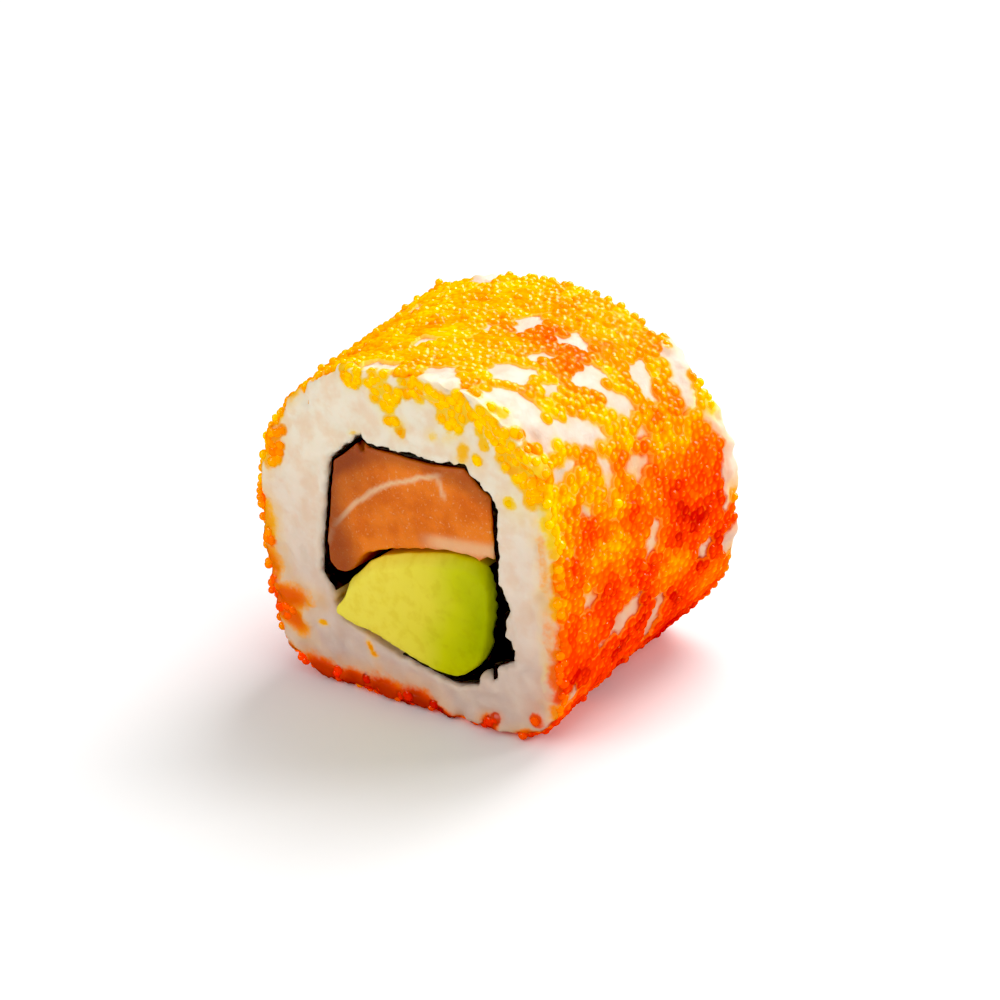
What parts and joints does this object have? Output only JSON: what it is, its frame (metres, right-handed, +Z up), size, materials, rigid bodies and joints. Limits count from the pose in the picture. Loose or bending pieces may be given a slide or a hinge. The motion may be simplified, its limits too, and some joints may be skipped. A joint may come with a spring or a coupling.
{
  "type": "masago sushi roll",
  "caption": "Piece of an inside-out sushi roll: salmon and avocado in nori and rice, coated with small orange fish roe, cut square at both ends.",
  "frame": {"origin": "middle of the footprint, on the surface that the piece lies on", "axes": "+Y along the roll, from the front cut to the back cut; +Z up; +X to the right as the front cut is seen"},
  "size_m": [0.0424, 0.0284, 0.0381],
  "materials": {
    "rice": "moist, pearly cooked rice",
    "masago": "wet, translucent roe, golden to red orange",
    "nori": "damp, crinkled, nearly black seaweed",
    "salmon": "moist raw fish with pale fat lines",
    "avocado": "smooth, buttery flesh, yellow to green"
  },
  "bodies": {
    "root": {"rice": "rice", "masago": "masago", "nori": "nori", "salmon": "salmon", "avocado": "avocado"}
  },
  "joints": []
}
